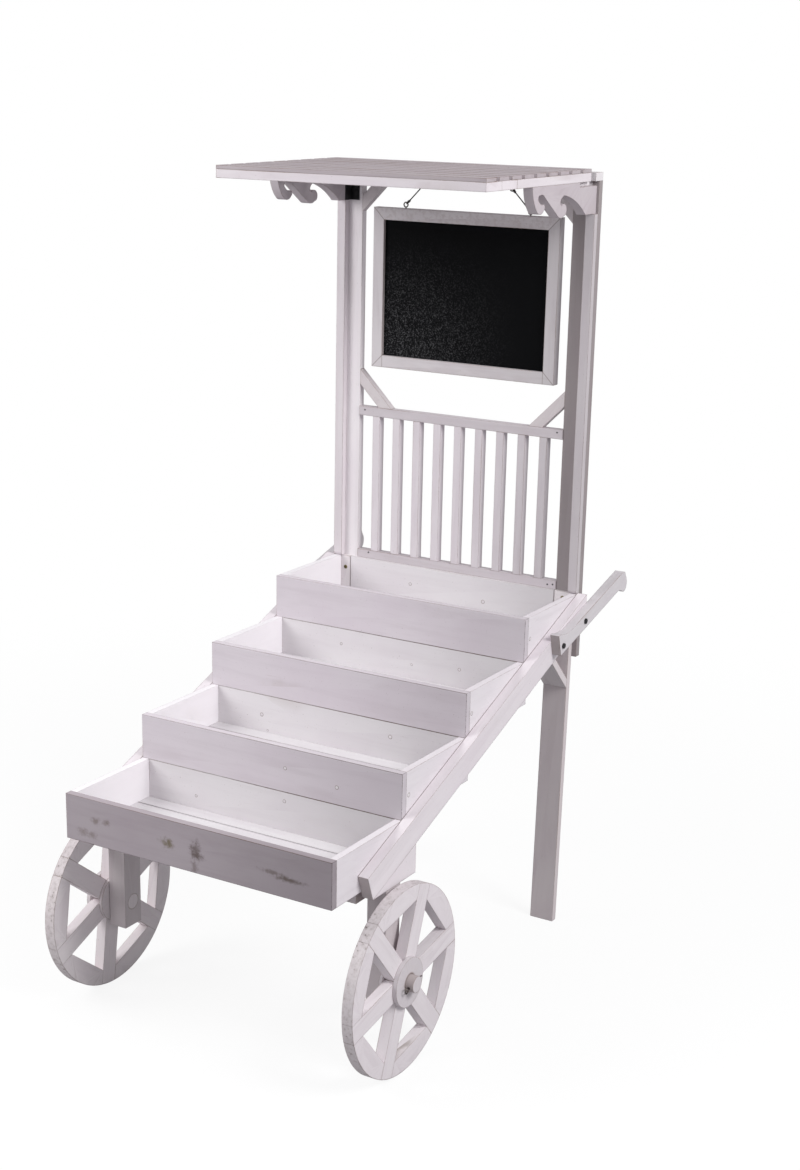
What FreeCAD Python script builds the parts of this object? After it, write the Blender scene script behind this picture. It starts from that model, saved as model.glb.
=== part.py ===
import FreeCAD, Part
import math
import os

# Flower cart stand: four stepped plant trays on two sloping side rails, two spoked wheels on dowel
# axles, two rear legs, two push handles, and a back frame with a railing, a slatted roof on two
# scroll hook brackets, and a framed chalkboard that hangs on two cords.
# Millimetres. X to the right, Y to the back, Z up. While it is being made, y = 0 is the front of the
# lowest tray and z = 0 is the floor.

# ---- Stock -------------------------------------------------------------------------------------
plank = 12.0              # thickness of the tray boards
floor_plank = 9.0         # thickness of the tray floor boards
slat_stock = 12.5         # thickness of the post boards and legs
strip_width = 43.5        # width of the post boards and legs
wheel_play = 0.4          # radial play between a wheel and its axle

# ---- Trays -------------------------------------------------------------------------------------
tray_count = 4
tray_width = 486.0
tray_run = 191.0          # each tray stands this much further back than the one below
tray_height = 73.5        # height of the boards; each tray stands on the back board below it
tray_base = 307.0         # underside of the lowest tray above the floor
floor_gap = 3.0           # open joint between the two floor boards of a tray
floor_front_share = 0.83  # where that joint lies between the front and the back board
corner_block_right = 31.0  # widths of the pads in the top tray's rear corners
corner_block_left = 19.0
corner_joint = 1.5        # open joint between a pad and the end of the back board

# ---- Side rails, wedges, wheel posts -----------------------------------------------------------
rail_thickness = 18.0
rail_depth = 41.0         # measured square to the rail
rail_lift = 2.0           # the rail's top edge above the trays' lower front corners
wedge_drop = 10.0         # the rail's front corner and the wedge reach this far below the trays
wedge_back = 204.5        # where the wedge's plumb rear edge stands
post_width = 32.0         # wheel post, across
post_length = 40.0        # wheel post, front to back
post_below_axle = 41.0    # from the axle's middle down to the wheel post's end
beam_length = 468.0       # front cross beam
beam_depth = 40.0
beam_height = 22.0

# ---- Wheels ------------------------------------------------------------------------------------
wheel_radius = 150.0
wheel_centre = 140.0      # behind the front of the lowest tray
wheel_thickness = 18.0
spoke_count = 6
spoke_width = 32.0
rim_width = 26.0          # of a rim segment where it meets a spoke
wheel_phase_right = 10.0  # turn of one spoke above level, to the back
wheel_phase_left = 22.0   # the left wheel has come to rest at another turn
disc_radius = 39.0
outer_disc = 7.0          # thickness
inner_disc = 6.0
disc_gap = 1.0            # between the inner disc and the wheel post
axle_radius = 13.0
axle_reach = 13.0         # how far the axle stands out of the outer disc
pin_radius = 1.9          # split pin wire, doubled
pin_eye = 4.6             # centre-line radius of the pin's eye
pin_tilt = 14.0           # the pin's rear end points up by this angle
pin_gap = 4.0             # from the outer disc to the pin
pin_tail = 7.0            # how far the pin's leg stands out of the axle at the back
pin_bend = 37.0           # the leg's end is bent outwards by this angle

# ---- Rear legs and knee braces -----------------------------------------------------------------
leg_inset = 8.0           # from the tray's side to the leg's outer edge
leg_lean = 14.0           # the foot stands this much further forward than the top
brace_thickness = 12.0    # of the knee braces
brace_height = 93.5       # from the top tray down to the brace's foot on the leg

# ---- Handles -----------------------------------------------------------------------------------
handle_thickness = 16.0
handle_angle = 16.0
handle_front = 640.0      # lower front corner
handle_drop = 26.3        # that corner below the rail's top edge, measured upright
handle_length = 260.0
handle_depth = 24.0       # of the bar
handle_head = 37.0        # depth of the squared front end
handle_hook = 11.0        # how far the grip's end drops below the bar
bolt_along = (11.0, 95.0)  # bolt places along the handle
bolt_up = 13.0            # above the handle's lower edge
bolt_shank = 3.0          # radius
bolt_head = 4.6           # radius
bolt_head_height = 2.4
bolt_bite = 14.0          # how deep a bolt goes into the rail

# ---- Back frame --------------------------------------------------------------------------------
total_height = 1300.0
board_drop = 39.5         # the post boards reach this far below the top tray
post_setback = 6.0        # of the post boards behind the face of the top tray's back board
batten_width = 16.0
batten_depth = 12.0
batten_round = 6.0        # radius of the batten's rounded lower end
top_beam_front = 14.0     # how far the top beam reaches forward of the post boards
beam_gap = 9.0            # between the roof's rear end and the top beam
top_rail_height = 14.0
top_rail_depth = 17.0
railing_height = 274.5    # above the top tray
railing_depth = 14.0
railing_upper_height = 16.0
railing_lower_height = 15.0
baluster_count = 9
baluster_width = 14.0
baluster_pitch = 41.0
corner_brace_width = 18.5
lower_brace_reach = 65.0  # along the rail, to the brace's far edge
upper_brace_reach = 55.0

# ---- Roof --------------------------------------------------------------------------------------
roof_width = 478.0
roof_overhang = 372.0     # from the post boards' front face to the roof's front edge
slat_thickness = 6.0
frame_height = 13.5       # of the frame under the slats
front_slat = 30.5
slat_gap = 9.5
slat_count = 9
front_rail_width = 48.0
bearer_width = 44.0
flat_rail_depth = 62.0    # flat cross rail let into the brackets
flat_rail_height = 7.0
flat_rail_inset = 8.0     # its end is this far inside the bracket's outer face

# ---- Scroll hook brackets ----------------------------------------------------------------------
bracket_thickness = 16.0
bracket_reach = 225.0     # forward of the post boards
bracket_drop = 51.0       # below the roof frame
iron_leaf = 20.0
iron_back_leaf = 17.0
iron_height = 35.0
iron_thickness = 1.5

# ---- Chalkboard --------------------------------------------------------------------------------
chalk_width = 354.0
chalk_drop = 47.0         # its top edge below the top rail
chalk_clearance = 72.0    # its lower edge above the railing
chalk_frame = 20.5        # width of the frame's mouldings
chalk_depth = 16.0
chalk_panel = 4.0         # thickness
chalk_recess = 6.0        # of the panel behind the frame's face
chalk_rebate = 6.0        # how far the panel runs under the frame
eye_wire = 1.2            # radius
eye_radius = 4.0          # centre-line radius of a screw eye
eye_thread = 11.0         # length of the shank inside the wood
lower_eye = 118.5         # from the middle
upper_eye = 83.0
upper_eye_drop = 5.4      # eye's centre below the top rail
lower_eye_rise = 6.0      # eye's centre above the chalkboard's frame
cord_radius = 1.0
cord_gap = 0.4            # between the cord's upper end and the eye's wire
cord_bite = 0.1           # how far the lower end presses onto the eye's wire

# ---- Small rings and wires ---------------------------------------------------------------------
ring_segments = 12
wire_sides = 8

# ---- Places worked out from the sizes above ----------------------------------------------------
slope = tray_height / tray_run
pitch_angle = math.atan(slope)
rail_plumb = rail_depth / math.cos(pitch_angle)
half_tray = tray_width / 2
tray_top = tray_base + tray_count * tray_height
top_tray_base = tray_top - tray_height
tray_back_face = tray_count * tray_run
rail_foot = tray_base - wedge_drop
post_foot = wheel_radius - post_below_axle
brace_foot = top_tray_base - brace_height
handle_front_height = tray_base + rail_lift + slope * handle_front - handle_drop
back_plane = tray_back_face + post_setback
board_inner = half_tray - strip_width
railing_top = tray_top + railing_height
rail_outer = half_tray + rail_thickness
post_inner = rail_outer - post_width
rim_inside = wheel_radius - rim_width
wheel_inside = rail_outer + disc_gap + inner_disc
wheel_outside = wheel_inside + wheel_thickness
disc_face = wheel_outside + outer_disc
axle_end = disc_face + axle_reach
roof_under = total_height - slat_thickness - frame_height
frame_top = total_height - slat_thickness
half_roof = roof_width / 2
roof_front = back_plane - roof_overhang
roof_back = back_plane - top_beam_front - beam_gap
top_rail_under = roof_under - top_rail_height
hang_plane = back_plane + top_rail_depth / 2
chalk_top = top_rail_under - chalk_drop
chalk_height = chalk_top - chalk_clearance - railing_top
leg_outer = half_tray - leg_inset
leg_inner = leg_outer - strip_width


def box(x0, x1, y0, y1, z0, z1):
    return Part.makeBox(x1 - x0, y1 - y0, z1 - z0, FreeCAD.Vector(x0, y0, z0))


def mirrored(shape):
    """The same piece on the left side."""
    return shape.mirror(FreeCAD.Vector(0, 0, 0), FreeCAD.Vector(1, 0, 0))


def both_sides(shape):
    return [shape, mirrored(shape)]


def outline(place, start, steps):
    """A closed face. A step is one point for a straight edge, or (via, end) for an arc."""
    edges = []
    here = start
    for step in list(steps) + [start]:
        if isinstance(step[0], tuple):
            via, end = step
            edges.append(Part.Arc(place(*here), place(*via), place(*end)).toShape())
        else:
            end = step
            edges.append(Part.LineSegment(place(*here), place(*end)).toShape())
        here = end
    return Part.Face(Part.Wire(edges))


def side_profile(x0, x1, start, steps):
    """A (y, z) outline given thickness from x0 to x1."""
    face = outline(lambda y, z: FreeCAD.Vector(x0, y, z), start, steps)
    return face.extrude(FreeCAD.Vector(x1 - x0, 0, 0))


def front_profile(y0, y1, start, steps):
    """An (x, z) outline given thickness from y0 to y1."""
    face = outline(lambda x, z: FreeCAD.Vector(x, y0, z), start, steps)
    return face.extrude(FreeCAD.Vector(0, y1 - y0, 0))


def rod_x(x0, x1, y, z, radius):
    return Part.makeCylinder(radius, x1 - x0, FreeCAD.Vector(x0, y, z), FreeCAD.Vector(1, 0, 0))


def turned(axis):
    """Turns upright into the given direction."""
    return FreeCAD.Rotation(FreeCAD.Vector(0, 0, 1), axis)


def wire_rod(start, way, length, radius):
    """A straight end of thin wire, with flats instead of a round skin."""
    corners = []
    for i in range(wire_sides + 1):
        around = 2 * math.pi * i / wire_sides
        offset = FreeCAD.Vector(radius * math.cos(around), radius * math.sin(around), 0)
        corners.append(start + turned(way).multVec(offset))
    return Part.Face(Part.makePolygon(corners)).extrude(way * length)


def wire_ring(middle, axis, radius, wire):
    """A ring of thin wire, mitred from short straight lengths with flats."""
    def corner(i, j):
        around = 2 * math.pi * i / ring_segments
        tube = 2 * math.pi * j / wire_sides
        reach = radius + wire * math.cos(tube)
        offset = FreeCAD.Vector(reach * math.cos(around), reach * math.sin(around), wire * math.sin(tube))
        return middle + turned(axis).multVec(offset)
    faces = []
    for i in range(ring_segments):
        for j in range(wire_sides):
            loop = [corner(i, j), corner(i + 1, j), corner(i + 1, j + 1), corner(i, j + 1), corner(i, j)]
            faces.append(Part.Face(Part.makePolygon(loop)))
    return Part.Solid(Part.Shell(faces))


# ---- Trays -------------------------------------------------------------------------------------

def tray_place(number):
    """Front and underside of a tray, counted from the lowest."""
    return number * tray_run, tray_base + number * tray_height


def tray_front(number):
    y, z = tray_place(number)
    return [box(-half_tray, half_tray, y, y + plank, z, z + tray_height)]


def tray_sides(number):
    """The top tray's sides butt against the post boards; the others pass the next tray's front."""
    y, z = tray_place(number)
    top = number == tray_count - 1
    back = back_plane if top else y + tray_run + plank
    return both_sides(box(half_tray - plank, half_tray, y + plank, back, z, z + tray_height))


def tray_back(number):
    """The next tray stands on this board."""
    if number == tray_count - 1:
        return [top_tray_back()]
    y, z = tray_place(number)
    y += tray_run
    half = half_tray - plank
    return [box(-half, half, y, y + plank, z, z + tray_height)]


def top_tray_back():
    """Full thickness between the post boards, its ends lapped over their front faces."""
    inside = half_tray - plank
    left = -inside + corner_block_left + corner_joint
    right = inside - corner_block_right - corner_joint
    face = box(left, right, tray_back_face, back_plane, top_tray_base, tray_top)
    behind = box(-board_inner, board_inner, back_plane, tray_back_face + plank, top_tray_base, tray_top)
    return face.fuse(behind).removeSplitter()


def corner_blocks():
    """Thin pads in the top tray's rear corners, flush with its back board."""
    inside = half_tray - plank
    y0, y1 = tray_back_face, back_plane
    return [
        box(inside - corner_block_right, inside, y0, y1, top_tray_base, tray_top),
        box(-inside, -inside + corner_block_left, y0, y1, top_tray_base, tray_top),
    ]


def tray_floor(number):
    """Two boards with an open joint between them."""
    y, z = tray_place(number)
    inside = half_tray - plank
    front, back = y + plank, y + tray_run
    joint = front + (back - front) * floor_front_share
    return [
        box(-inside, inside, front, joint - floor_gap / 2, z, z + floor_plank),
        box(-inside, inside, joint + floor_gap / 2, back, z, z + floor_plank),
    ]


# ---- Side rails, wedges, posts and beam --------------------------------------------------------

def rail_top(y):
    return tray_base + rail_lift + slope * y


def rail_under(y):
    return rail_top(y) - rail_plumb


def rail_start():
    """Where the rail's underside comes down to its foot."""
    return (rail_foot + rail_plumb - rail_lift - tray_base) / slope


def side_rail():
    """Square cut in front, plumb cut behind, screwed to the outside of the trays."""
    y0 = rail_start()
    lean = rail_depth * math.sin(pitch_angle)
    rise = rail_depth * math.cos(pitch_angle)
    shape = side_profile(half_tray, rail_outer, (y0, rail_foot), [
        (tray_back_face, rail_under(tray_back_face)),
        (tray_back_face, rail_top(tray_back_face)),
        (y0 - lean, rail_foot + rise),
    ])
    for y, z in bolt_places():
        shape = shape.cut(rod_x(rail_outer - bolt_bite, rail_outer, y, z, bolt_shank))
    return shape


def wedge_block():
    """Makes a level seat for the wheel post under the sloping rail."""
    return side_profile(half_tray, rail_outer, (rail_start(), rail_foot), [
        (wedge_back, rail_foot),
        (wedge_back, rail_under(wedge_back)),
    ])


def wheel_post():
    """Shouldered at the top: the outer part carries the wedge, the inner part meets the tray."""
    y0 = wheel_centre - post_length / 2
    y1 = wheel_centre + post_length / 2
    shape = box(post_inner, rail_outer, y0, y1, post_foot, rail_foot)
    tongue = box(post_inner, half_tray, y0, y1, rail_foot, tray_base)
    shape = shape.fuse(tongue).removeSplitter()
    bore = rod_x(post_inner, rail_outer, wheel_centre, wheel_radius, axle_radius)
    return shape.cut(bore)


def front_cross_beam():
    back = wheel_centre - post_length / 2
    half = beam_length / 2
    return [box(-half, half, back - beam_depth, back, tray_base - beam_height, tray_base)]


# ---- Wheels ------------------------------------------------------------------------------------

def wheel_point(along, aside, angle):
    """A point on the wheel's face: along a spoke from the centre and aside from it."""
    turn = math.radians(angle)
    y = along * math.cos(turn) - aside * math.sin(turn)
    z = along * math.sin(turn) + aside * math.cos(turn)
    return wheel_centre + y, wheel_radius + z


def rim_segment(angle):
    """Between two spokes: an arc outside, one straight edge inside."""
    step = 360.0 / spoke_count
    half = spoke_width / 2
    tip = math.sqrt(wheel_radius ** 2 - half ** 2)
    return side_profile(wheel_inside, wheel_outside, wheel_point(rim_inside, half, angle), [
        wheel_point(tip, half, angle),
        (wheel_point(wheel_radius, 0, angle + step / 2), wheel_point(tip, -half, angle + step)),
        wheel_point(rim_inside, -half, angle + step),
    ])


def spoke(angle):
    """A flat bar from the hub to the tread, its inner end mitred against its neighbours."""
    half = spoke_width / 2
    tip = math.sqrt(wheel_radius ** 2 - half ** 2)
    mitre = half / math.tan(math.pi / spoke_count)
    shape = side_profile(wheel_inside, wheel_outside, (wheel_centre, wheel_radius), [
        wheel_point(mitre, -half, angle),
        wheel_point(tip, -half, angle),
        (wheel_point(wheel_radius, 0, angle), wheel_point(tip, half, angle)),
        wheel_point(mitre, half, angle),
    ])
    return shape.cut(axle_space())


def axle_space():
    return rod_x(rail_outer, axle_end, wheel_centre, wheel_radius, axle_radius + wheel_play)


def hub_discs():
    outer = rod_x(wheel_outside, disc_face, wheel_centre, wheel_radius, disc_radius)
    inner = rod_x(rail_outer + disc_gap, wheel_inside, wheel_centre, wheel_radius, disc_radius)
    return [outer.cut(axle_space()), inner.cut(axle_space())]


def wheel_angles(phase):
    return [phase + i * 360.0 / spoke_count for i in range(spoke_count)]


def pin_direction():
    tilt = math.radians(pin_tilt)
    return FreeCAD.Vector(0, math.cos(tilt), math.sin(tilt))


def pin_height():
    """The pin's place along the axle."""
    return disc_face + pin_gap + pin_radius


def axle():
    """A dowel, flush with the inner face of the post, cross-drilled for the pin."""
    shape = rod_x(post_inner, axle_end, wheel_centre, wheel_radius, axle_radius)
    way = pin_direction()
    middle = FreeCAD.Vector(pin_height(), wheel_centre, wheel_radius)
    drill = Part.makeCylinder(pin_radius, 4 * axle_radius, middle - way * 2 * axle_radius, way)
    return shape.cut(drill)


def cotter_pin():
    """Eye in front, straight shank through the axle, the tail bent outwards behind."""
    way = pin_direction()
    middle = FreeCAD.Vector(pin_height(), wheel_centre, wheel_radius)
    ring_middle = middle - way * (axle_radius + pin_eye + pin_radius)
    ring = wire_ring(ring_middle, FreeCAD.Vector(1, 0, 0), pin_eye, pin_radius)
    start = ring_middle + way * pin_eye
    corner = middle + way * (axle_radius + pin_radius)
    shank = wire_rod(start, way, (corner - start).Length, pin_radius)
    bend = math.radians(pin_bend)
    out = FreeCAD.Vector(math.sin(bend), 0, 0) + way * math.cos(bend)
    tail = wire_rod(corner - out * pin_radius, out, pin_tail + pin_radius, pin_radius)
    return ring.fuse([shank, tail])


# ---- Rear legs ---------------------------------------------------------------------------------

def leg_face(z):
    """Front face of the leg at a height."""
    top = back_plane - slat_stock
    return top - leg_lean * (top_tray_base - z) / top_tray_base


def rear_leg():
    """Screwed to the front of the post board under the top tray."""
    return side_profile(leg_inner, leg_outer, (leg_face(0), 0), [
        (leg_face(0) + slat_stock, 0),
        (leg_face(top_tray_base) + slat_stock, top_tray_base),
        (leg_face(top_tray_base), top_tray_base),
    ])


def knee_brace():
    """From the front of the leg up to the underside of the top tray, at 45 degrees."""
    high = brace_foot + brace_thickness * math.sqrt(2)
    low_y, high_y = leg_face(brace_foot), leg_face(high)
    return side_profile(leg_inner, leg_outer, (low_y, brace_foot), [
        (high_y, high),
        (high_y - (top_tray_base - high), top_tray_base),
        (low_y - (top_tray_base - brace_foot), top_tray_base),
    ])


# ---- Handles -----------------------------------------------------------------------------------

def handle_point(along, up):
    turn = math.radians(handle_angle)
    y = handle_front + along * math.cos(turn) - up * math.sin(turn)
    z = handle_front_height + along * math.sin(turn) + up * math.cos(turn)
    return y, z


def bolt_places():
    return [handle_point(along, bolt_up) for along in bolt_along]


def push_handle():
    """A bar with a squared head in front and a grip that hooks down at the back."""
    end, top, head = handle_length, handle_depth, handle_head
    hook = -handle_hook
    p = handle_point
    shape = side_profile(rail_outer, rail_outer + handle_thickness, p(0, 0), [
        p(end - top * 1.5, 0),
        (p(end - top * 1.1, hook * 0.35), p(end - top * 0.8, hook * 0.9)),
        (p(end - top * 0.5, hook * 1.1), p(end - top * 0.17, hook * 0.75)),
        (p(end, 0), p(end - top * 0.08, top * 0.55)),
        (p(end - top * 0.2, top * 0.9), p(end - top * 0.58, top)),
        p(head * 1.68, top),
        (p(head * 0.8, top + (head - top) * 0.2), p(head * 0.16, head)),
        p(0, head),
    ])
    for y, z in bolt_places():
        bore = rod_x(rail_outer, rail_outer + handle_thickness, y, z, bolt_shank)
        shape = shape.cut(bore)
    return shape


def handle_bolt(y, z):
    """A round shank with a low round head outside."""
    face = rail_outer + handle_thickness
    shank = rod_x(rail_outer - bolt_bite, face, y, z, bolt_shank)
    return shank.fuse(rod_x(face, face + bolt_head_height, y, z, bolt_head))


def handle_bolts():
    bolts = []
    for y, z in bolt_places():
        bolts += both_sides(handle_bolt(y, z))
    return bolts


# ---- Back frame --------------------------------------------------------------------------------

def post_board():
    z0 = top_tray_base - board_drop
    return box(board_inner, half_tray, back_plane, back_plane + slat_stock, z0, roof_under)


def post_batten():
    """Runs from the tray's side up to the hook bracket, its lower front edge rounded."""
    y0 = back_plane - batten_depth
    z1 = roof_under - bracket_drop
    r = batten_round
    bow = r * (1 - math.sqrt(0.5))
    return side_profile(half_tray - batten_width, half_tray, (back_plane, tray_top), [
        (back_plane, z1),
        (y0, z1),
        (y0, tray_top + r),
        ((y0 + bow, tray_top + bow), (y0 + r, tray_top)),
    ])


def top_beam():
    """Lies across the ends of both post boards, behind the roof."""
    y0 = back_plane - top_beam_front
    return [box(-half_tray, half_tray, y0, back_plane + slat_stock, roof_under, frame_top)]


def top_rail():
    """Between the post boards; drilled from below for the two eyes that carry the chalkboard."""
    y1 = back_plane + top_rail_depth
    shape = box(-board_inner, board_inner, back_plane, y1, top_rail_under, roof_under)
    for x in (-upper_eye, upper_eye):
        foot = FreeCAD.Vector(x, hang_plane, top_rail_under)
        shape = shape.cut(Part.makeCylinder(eye_wire, eye_thread, foot))
    return [shape]


def railing_front():
    return back_plane + slat_stock - railing_depth


def railing_rails():
    y0, y1 = railing_front(), back_plane + slat_stock
    upper = box(-board_inner, board_inner, y0, y1, railing_top - railing_upper_height, railing_top)
    lower = box(-board_inner, board_inner, y0, y1, tray_top, tray_top + railing_lower_height)
    return [upper, lower]


def balusters():
    first = -baluster_pitch * (baluster_count - 1) / 2
    places = [first + i * baluster_pitch for i in range(baluster_count)]
    half = baluster_width / 2
    y0, y1 = railing_front(), back_plane + slat_stock
    low, high = tray_top + railing_lower_height, railing_top - railing_upper_height
    return [box(x - half, x + half, y0, y1, low, high) for x in places]


def corner_brace(rail_edge, reach, way):
    """A 45 degree brace from the post board to a cross rail; way is +1 up to it, -1 down to it."""
    inner = reach - corner_brace_width * math.sqrt(2)
    return front_profile(back_plane, back_plane + slat_stock, (board_inner, rail_edge - way * reach), [
        (board_inner, rail_edge - way * inner),
        (board_inner - inner, rail_edge),
        (board_inner - reach, rail_edge),
    ])


def corner_braces():
    upper = corner_brace(top_rail_under, upper_brace_reach, 1)
    lower = corner_brace(railing_top, lower_brace_reach, -1)
    return both_sides(upper) + both_sides(lower)


# ---- Roof --------------------------------------------------------------------------------------

def roof_slats():
    """A slat of its own width in front, equal slats behind it, with open joints."""
    run = roof_back - roof_front - front_slat
    width = run / (slat_count - 1) - slat_gap
    slats = [box(-half_roof, half_roof, roof_front, roof_front + front_slat, frame_top, total_height)]
    y = roof_front + front_slat
    for _ in range(slat_count - 1):
        y += slat_gap
        slats.append(box(-half_roof, half_roof, y, y + width, frame_top, total_height))
        y += width
    return slats


def roof_front_rails():
    rails = []
    for i in range(2):
        y = roof_front + i * front_rail_width
        rails.append(box(-half_roof, half_roof, y, y + front_rail_width, roof_under, frame_top))
    return rails


def roof_bearers():
    """One each side, from the front rails to the roof's rear end, on the bracket's top edge."""
    y0 = roof_front + 2 * front_rail_width
    return both_sides(box(half_roof - bearer_width, half_roof, y0, roof_back, roof_under, frame_top))


def roof_flat_rail():
    """Let into the top edges of both brackets under the roof's rear end."""
    half = half_roof - flat_rail_inset
    return [box(-half, half, back_plane - flat_rail_depth, back_plane,
                roof_under - flat_rail_height, roof_under)]


# ---- Scroll hook brackets ----------------------------------------------------------------------

def bracket_point(forward, down):
    """Shares of the bracket's reach and drop, from the corner between post board and roof."""
    return back_plane - forward * bracket_reach, roof_under - down * bracket_drop


def hook_bracket():
    """Two claws that open to the back, then an arch down to the block on the post's batten."""
    p = bracket_point
    nose = [
        (p(0.982, 0.353), p(0.92, 0.735)),
        (p(0.867, 0.814), p(0.822, 0.706)),
    ]
    front_claw = [
        (p(0.811, 0.588), p(0.831, 0.529)),
        (p(0.871, 0.52), p(0.9, 0.431)),
        (p(0.911, 0.324), p(0.889, 0.265)),
        (p(0.844, 0.255), p(0.813, 0.333)),
    ]
    rear_claw = [
        p(0.609, 0.922),
        (p(0.564, 1), p(0.511, 0.941)),
        (p(0.473, 0.765), p(0.493, 0.618)),
        (p(0.524, 0.578), p(0.551, 0.647)),
        (p(0.571, 0.569), p(0.569, 0.471)),
        (p(0.529, 0.353), p(0.48, 0.363)),
        (p(0.347, 0.529), p(0.169, 1)),
    ]
    seat = [
        p(0, 1),
        (back_plane, roof_under - flat_rail_height),
        (back_plane - flat_rail_depth, roof_under - flat_rail_height),
        (back_plane - flat_rail_depth, roof_under),
    ]
    steps = nose + front_claw + rear_claw + seat
    return side_profile(half_roof - bracket_thickness, half_roof, p(1, 0), steps)


def corner_iron():
    """A folded steel angle in the corner between the bracket and the post board."""
    face = half_roof - bracket_thickness
    z0 = roof_under - bracket_drop
    side = box(face - iron_thickness, face, back_plane - iron_leaf, back_plane, z0, z0 + iron_height)
    back = box(face - iron_back_leaf, face, back_plane - iron_thickness, back_plane, z0, z0 + iron_height)
    return side.fuse(back).removeSplitter()


# ---- Chalkboard --------------------------------------------------------------------------------

def chalk_member(half_long, half_short, panel_half):
    """The top moulding of a mitred frame, lying along X about the board's middle."""
    y0, y1 = hang_plane - chalk_depth / 2, hang_plane + chalk_depth / 2
    w = chalk_frame
    shape = front_profile(y0, y1, (-half_long, half_short), [
        (half_long, half_short),
        (half_long - w, half_short - w),
        (-half_long + w, half_short - w),
    ])
    seat = box(-panel_half, panel_half, y0 + chalk_recess, y1,
               half_short - w - chalk_rebate, half_short - w + chalk_rebate)
    return shape.cut(seat)


def chalkboard_frame():
    """Four mouldings with a rebate behind for the panel; the top one is drilled for the eyes."""
    half_w, half_h = chalk_width / 2, chalk_height / 2
    lap = chalk_rebate - chalk_frame
    pieces = []
    axis = FreeCAD.Vector(0, 1, 0)
    for quarter in range(4):
        along, across = (half_w, half_h) if quarter % 2 == 0 else (half_h, half_w)
        piece = chalk_member(along, across, along + lap)
        piece.rotate(FreeCAD.Vector(0, 0, 0), axis, 90 * quarter)
        piece.translate(FreeCAD.Vector(0, 0, chalk_top - half_h))
        pieces.append(piece)
    for x in (-lower_eye, lower_eye):
        top = FreeCAD.Vector(x, hang_plane, chalk_top - eye_thread)
        pieces[0] = pieces[0].cut(Part.makeCylinder(eye_wire, eye_thread, top))
    return pieces


def chalkboard_panel():
    half_w = chalk_width / 2 - chalk_frame + chalk_rebate
    half_h = chalk_height / 2 - chalk_frame + chalk_rebate
    middle = chalk_top - chalk_height / 2
    y0 = hang_plane - chalk_depth / 2 + chalk_recess
    return [box(-half_w, half_w, y0, y0 + chalk_panel, middle - half_h, middle + half_h)]


def screw_eye(x, z, way, face):
    """A ring with its shank in the wood; way is +1 when the shank points up, -1 down."""
    middle = FreeCAD.Vector(x, hang_plane, z)
    ring = wire_ring(middle, FreeCAD.Vector(0, 1, 0), eye_radius, eye_wire)
    start = FreeCAD.Vector(x, hang_plane, z + way * eye_radius)
    length = abs(face - z) - eye_radius + eye_thread
    return ring.fuse(wire_rod(start, FreeCAD.Vector(0, 0, way), length, eye_wire))


def upper_eye_height():
    return top_rail_under - upper_eye_drop


def upper_eyes():
    return both_sides(screw_eye(upper_eye, upper_eye_height(), 1, top_rail_under))


def board_eyes():
    return both_sides(screw_eye(lower_eye, chalk_top + lower_eye_rise, -1, chalk_top))


def hanging_cord():
    """Straight and taut, from the eye on the chalkboard to the eye in the top rail."""
    low = FreeCAD.Vector(lower_eye, hang_plane, chalk_top + lower_eye_rise)
    high = FreeCAD.Vector(upper_eye, hang_plane, upper_eye_height())
    way = (high - low).normalize()
    outside = eye_radius + eye_wire
    start = low + way * (outside - cord_bite)
    length = (high - low).Length - 2 * outside + cord_bite - cord_gap
    return Part.makeCylinder(cord_radius, length, start, way)


# ---- All pieces --------------------------------------------------------------------------------

def wheel(name, phase, side):
    """The nodes of one wheel; side puts a right-hand piece on its own side."""
    angles = wheel_angles(phase)
    return {
        name + "_rim": [side(rim_segment(a)) for a in angles],
        name + "_spokes": [side(spoke(a)) for a in angles],
        name + "_hub_discs": [side(disc) for disc in hub_discs()],
    }


def all_pieces():
    nodes = {}
    for number in range(tray_count):
        name = "tray_%d" % (number + 1)
        nodes[name + "_front"] = tray_front(number)
        nodes[name + "_sides"] = tray_sides(number)
        nodes[name + "_back"] = tray_back(number)
        nodes[name + "_floor"] = tray_floor(number)
    handed = {
        "side_rail": side_rail, "wheel_post": wheel_post, "axle": axle, "rear_leg": rear_leg,
        "handle": push_handle, "post_board": post_board, "hook_bracket": hook_bracket,
        "hanging_cord": hanging_cord,
    }
    for name, make in handed.items():
        right = make()
        nodes[name + "_right"] = [right]
        nodes[name + "_left"] = [mirrored(right)]
    pairs = {
        "wedge_blocks": wedge_block, "cotter_pins": cotter_pin, "knee_braces": knee_brace,
        "post_battens": post_batten, "corner_irons": corner_iron,
    }
    for name, make in pairs.items():
        nodes[name] = both_sides(make())
    groups = {
        "front_cross_beam": front_cross_beam, "tray_4_corner_blocks": corner_blocks,
        "handle_bolts": handle_bolts, "top_rail": top_rail, "railing_rails": railing_rails,
        "balusters": balusters, "corner_braces": corner_braces, "roof_slats": roof_slats,
        "roof_front_rails": roof_front_rails, "roof_bearers": roof_bearers,
        "top_beam": top_beam, "roof_flat_rail": roof_flat_rail,
        "chalkboard_frame": chalkboard_frame, "chalkboard_panel": chalkboard_panel,
        "upper_screw_eyes": upper_eyes, "board_screw_eyes": board_eyes,
    }
    for name, make in groups.items():
        nodes[name] = make()
    nodes.update(wheel("wheel_right", wheel_phase_right, lambda piece: piece))
    nodes.update(wheel("wheel_left", wheel_phase_left, mirrored))
    return nodes


def front_to_middle(nodes):
    """Half way between the frontmost and the rearmost point, where the origin goes."""
    boxes = [Part.makeCompound(solids).optimalBoundingBox(False) for solids in nodes.values()]
    return (min(b.YMin for b in boxes) + max(b.YMax for b in boxes)) / 2


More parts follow.
